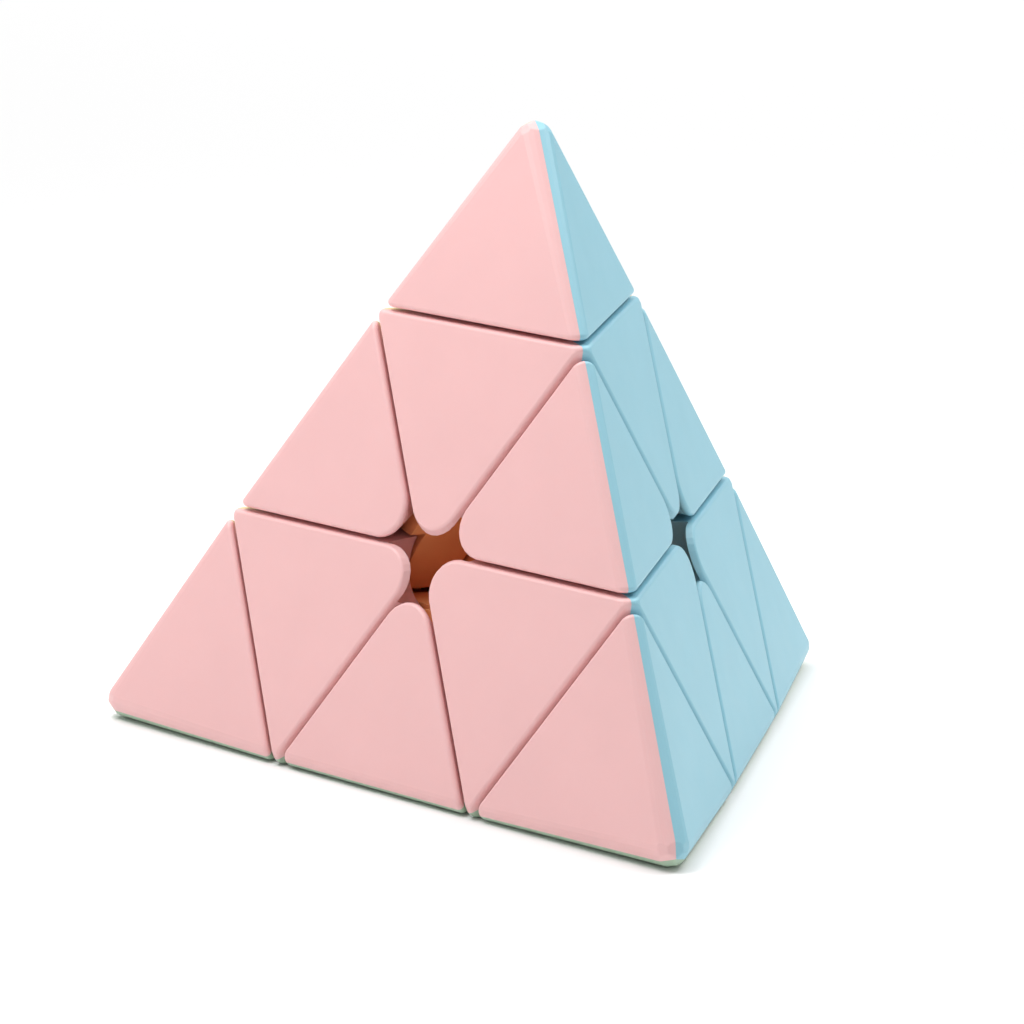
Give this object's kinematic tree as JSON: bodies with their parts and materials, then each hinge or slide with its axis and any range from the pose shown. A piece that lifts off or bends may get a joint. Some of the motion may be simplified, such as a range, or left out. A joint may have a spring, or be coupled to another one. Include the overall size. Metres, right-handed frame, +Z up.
{
  "type": "pyramid twisty puzzle",
  "caption": "Four-sided twisty puzzle with turning corner layers and tips on a hidden four-arm core, in one plastic colour per face.",
  "frame": {"origin": "centre of the core, where the four corner axes meet", "axes": "+Z up through the top corner; +Y level, square to the pink face's lower edge and pointing away from the pink face; +X to the right along that edge"},
  "size_m": [0.097, 0.085, 0.0801],
  "materials": {
    "pink_plastic": "pale pink moulded plastic, self coloured, satin",
    "blue_plastic": "light blue moulded plastic, self coloured, satin",
    "yellow_plastic": "pale yellow moulded plastic, self coloured, satin",
    "green_plastic": "grey-green moulded plastic, self coloured, satin",
    "inner_plastic": "cream moulded plastic of the hidden mechanism",
    "steel": "zinc-plated steel screws, washers and springs"
  },
  "bodies": {
    "core": {"core": "inner_plastic", "axis_screws": "steel", "axis_springs": "steel", "axis_washers": "steel"},
    "layer_top": {"axial_top_hub": "inner_plastic", "axial_top_blue": "blue_plastic", "axial_top_yellow": "yellow_plastic", "axial_top_pink": "pink_plastic"},
    "layer_left": {"axial_left_hub": "inner_plastic", "axial_left_green": "green_plastic", "axial_left_yellow": "yellow_plastic", "axial_left_pink": "pink_plastic"},
    "layer_front": {"axial_front_hub": "inner_plastic", "axial_front_green": "green_plastic", "axial_front_blue": "blue_plastic", "axial_front_pink": "pink_plastic"},
    "layer_right": {"axial_right_hub": "inner_plastic", "axial_right_green": "green_plastic", "axial_right_blue": "blue_plastic", "axial_right_yellow": "yellow_plastic"},
    "edge_top_left": {"edge_top_left_foot": "inner_plastic", "edge_top_left_yellow": "yellow_plastic", "edge_top_left_pink": "pink_plastic"},
    "edge_top_front": {"edge_top_front_foot": "inner_plastic", "edge_top_front_blue": "blue_plastic", "edge_top_front_pink": "pink_plastic"},
    "edge_top_right": {"edge_top_right_foot": "inner_plastic", "edge_top_right_blue": "blue_plastic", "edge_top_right_yellow": "yellow_plastic"},
    "edge_left_front": {"edge_left_front_foot": "inner_plastic", "edge_left_front_green": "green_plastic", "edge_left_front_pink": "pink_plastic"},
    "edge_left_right": {"edge_left_right_foot": "inner_plastic", "edge_left_right_green": "green_plastic", "edge_left_right_yellow": "yellow_plastic"},
    "edge_front_right": {"edge_front_right_foot": "inner_plastic", "edge_front_right_green": "green_plastic", "edge_front_right_blue": "blue_plastic"},
    "tip_top": {"tip_top_base": "inner_plastic", "tip_top_screw": "steel", "tip_top_blue": "blue_plastic", "tip_top_yellow": "yellow_plastic", "tip_top_pink": "pink_plastic"},
    "tip_left": {"tip_left_base": "inner_plastic", "tip_left_screw": "steel", "tip_left_green": "green_plastic", "tip_left_yellow": "yellow_plastic", "tip_left_pink": "pink_plastic"},
    "tip_front": {"tip_front_base": "inner_plastic", "tip_front_screw": "steel", "tip_front_green": "green_plastic", "tip_front_blue": "blue_plastic", "tip_front_pink": "pink_plastic"},
    "tip_right": {"tip_right_base": "inner_plastic", "tip_right_screw": "steel", "tip_right_green": "green_plastic", "tip_right_blue": "blue_plastic", "tip_right_yellow": "yellow_plastic"}
  },
  "joints": [
    {"name": "turn_layer_top", "type": "hinge", "parent": "core", "child": "layer_top", "pos_m": [0, 0, 0], "axis": [0, 0, 1], "range_deg": [-120, 240]},
    {"name": "turn_layer_left", "type": "hinge", "parent": "core", "child": "layer_left", "pos_m": [0, 0, 0], "axis": [-0.8165, -0.4714, -0.3333], "range_deg": [-120, 240]},
    {"name": "turn_layer_front", "type": "hinge", "parent": "core", "child": "layer_front", "pos_m": [0, 0, 0], "axis": [0.8165, -0.4714, -0.3333], "range_deg": [-120, 240]},
    {"name": "turn_layer_right", "type": "hinge", "parent": "core", "child": "layer_right", "pos_m": [0, 0, 0], "axis": [0, 0.9428, -0.3333], "range_deg": [-120, 240]},
    {"name": "turn_tip_top", "type": "hinge", "parent": "layer_top", "child": "tip_top", "pos_m": [0, 0, 0], "axis": [0, 0, 1], "continuous": true},
    {"name": "turn_tip_left", "type": "hinge", "parent": "layer_left", "child": "tip_left", "pos_m": [0, 0, 0], "axis": [-0.8165, -0.4714, -0.3333], "continuous": true},
    {"name": "turn_tip_front", "type": "hinge", "parent": "layer_front", "child": "tip_front", "pos_m": [0, 0, 0], "axis": [0.8165, -0.4714, -0.3333], "continuous": true},
    {"name": "turn_tip_right", "type": "hinge", "parent": "layer_right", "child": "tip_right", "pos_m": [0, 0, 0], "axis": [0, 0.9428, -0.3333], "continuous": true},
    {"name": "carry_edge_top_left", "type": "hinge", "parent": "layer_top", "child": "edge_top_left", "pos_m": [0, 0, 0], "axis": [-0.8165, -0.4714, -0.3333], "range_deg": [-120, 240]},
    {"name": "carry_edge_top_front", "type": "hinge", "parent": "layer_top", "child": "edge_top_front", "pos_m": [0, 0, 0], "axis": [0.8165, -0.4714, -0.3333], "range_deg": [-120, 240]},
    {"name": "carry_edge_top_right", "type": "hinge", "parent": "layer_top", "child": "edge_top_right", "pos_m": [0, 0, 0], "axis": [0, 0.9428, -0.3333], "range_deg": [-120, 240]},
    {"name": "carry_edge_left_front", "type": "hinge", "parent": "layer_front", "child": "edge_left_front", "pos_m": [0, 0, 0], "axis": [-0.8165, -0.4714, -0.3333], "range_deg": [-120, 240]},
    {"name": "carry_edge_left_right", "type": "hinge", "parent": "layer_left", "child": "edge_left_right", "pos_m": [0, 0, 0], "axis": [0, 0.9428, -0.3333], "range_deg": [-120, 240]},
    {"name": "carry_edge_front_right", "type": "hinge", "parent": "layer_right", "child": "edge_front_right", "pos_m": [0, 0, 0], "axis": [0.8165, -0.4714, -0.3333], "range_deg": [-120, 240]}
  ],
  "couplings": [
    {"joint": "carry_edge_top_left", "follows": "turn_layer_left", "ratio": 1},
    {"joint": "carry_edge_top_front", "follows": "turn_layer_front", "ratio": 1},
    {"joint": "carry_edge_top_right", "follows": "turn_layer_right", "ratio": 1},
    {"joint": "carry_edge_left_front", "follows": "turn_layer_left", "ratio": 1},
    {"joint": "carry_edge_left_right", "follows": "turn_layer_right", "ratio": 1},
    {"joint": "carry_edge_front_right", "follows": "turn_layer_front", "ratio": 1}
  ]
}
